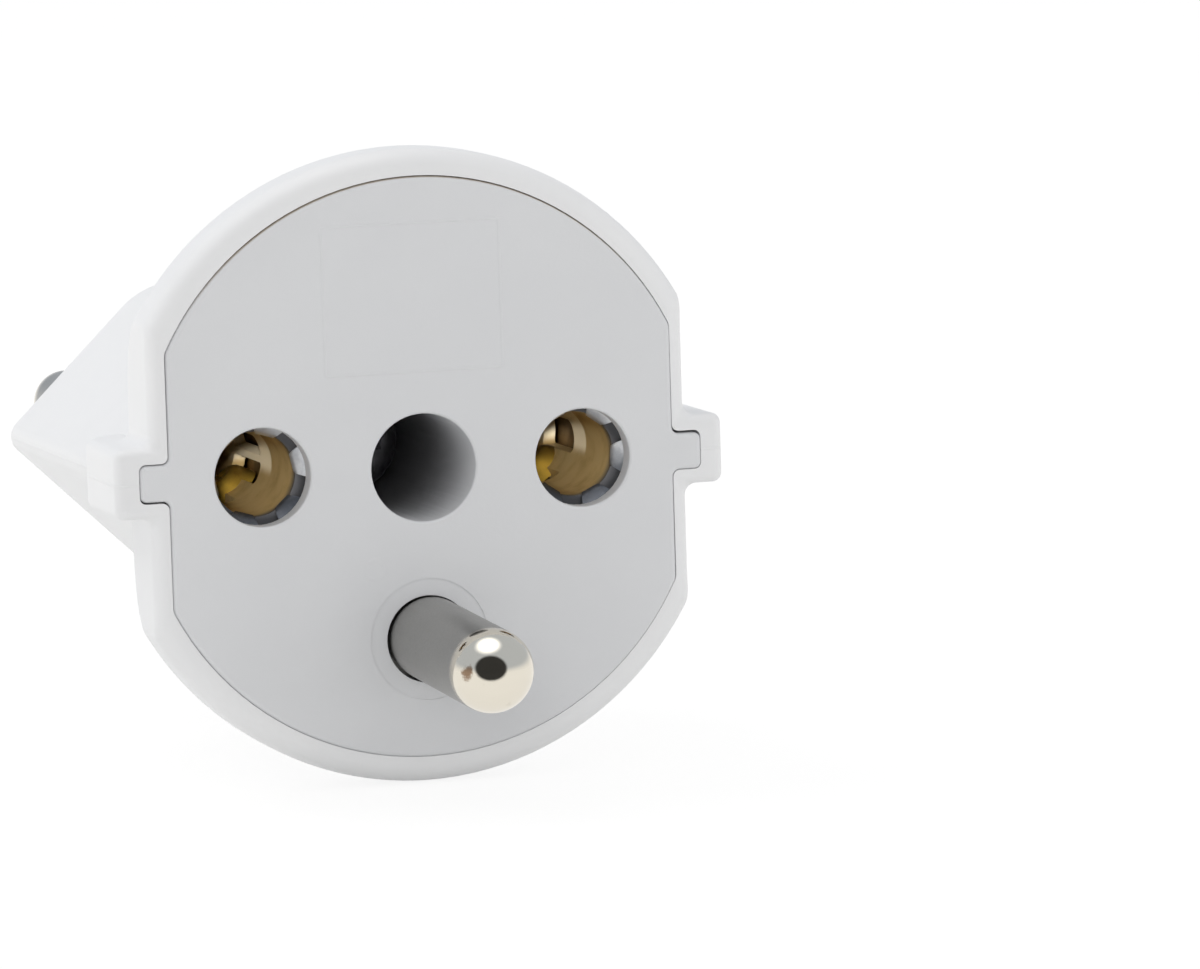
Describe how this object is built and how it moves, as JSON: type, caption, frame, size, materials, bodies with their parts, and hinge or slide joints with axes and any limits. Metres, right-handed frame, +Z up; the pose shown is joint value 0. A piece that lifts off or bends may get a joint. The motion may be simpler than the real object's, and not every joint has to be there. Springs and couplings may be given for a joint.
{
  "type": "plug adapter",
  "caption": "Fixed plug adapter: round socket face with an earth pin on one side, six-sided body with live pins and an earth pin on the other.",
  "frame": {"origin": "middle of the plug end face, halfway between the two live pins", "axes": "+Y out of the plug end face along the plug pins, +Z up, away from the earth pins. The socket face looks to -Y."},
  "size_m": [0.0362, 0.0635, 0.0364],
  "materials": {
    "housing_plastic": "smooth satin white moulding",
    "insert_plastic": "fine matte light grey-white",
    "brass": "turned, a little dull",
    "spring_steel": "stamped, bright on the teeth",
    "pin_nickel": "satin nickel plate, polished at the tip",
    "tarnished_nickel": "bare and tarnished brownish",
    "sleeve_plastic": "smooth white sleeve",
    "strap_brass": "bent sheet",
    "carrier_plastic": "plain moulding",
    "screw_steel": "zinc plated"
  },
  "bodies": {
    "root": {"housing": "housing_plastic", "face_insert": "insert_plastic", "line_contact": "brass", "neutral_contact": "brass", "line_spring_ring": "spring_steel", "neutral_spring_ring": "spring_steel", "line_pin": "pin_nickel", "neutral_pin": "pin_nickel", "line_pin_sleeve": "sleeve_plastic", "neutral_pin_sleeve": "sleeve_plastic", "plug_earth_pin": "tarnished_nickel", "face_earth_pin": "pin_nickel", "earth_strap": "strap_brass", "pin_carrier": "carrier_plastic", "screw_washer": "screw_steel", "closing_screw": "screw_steel"}
  },
  "joints": []
}
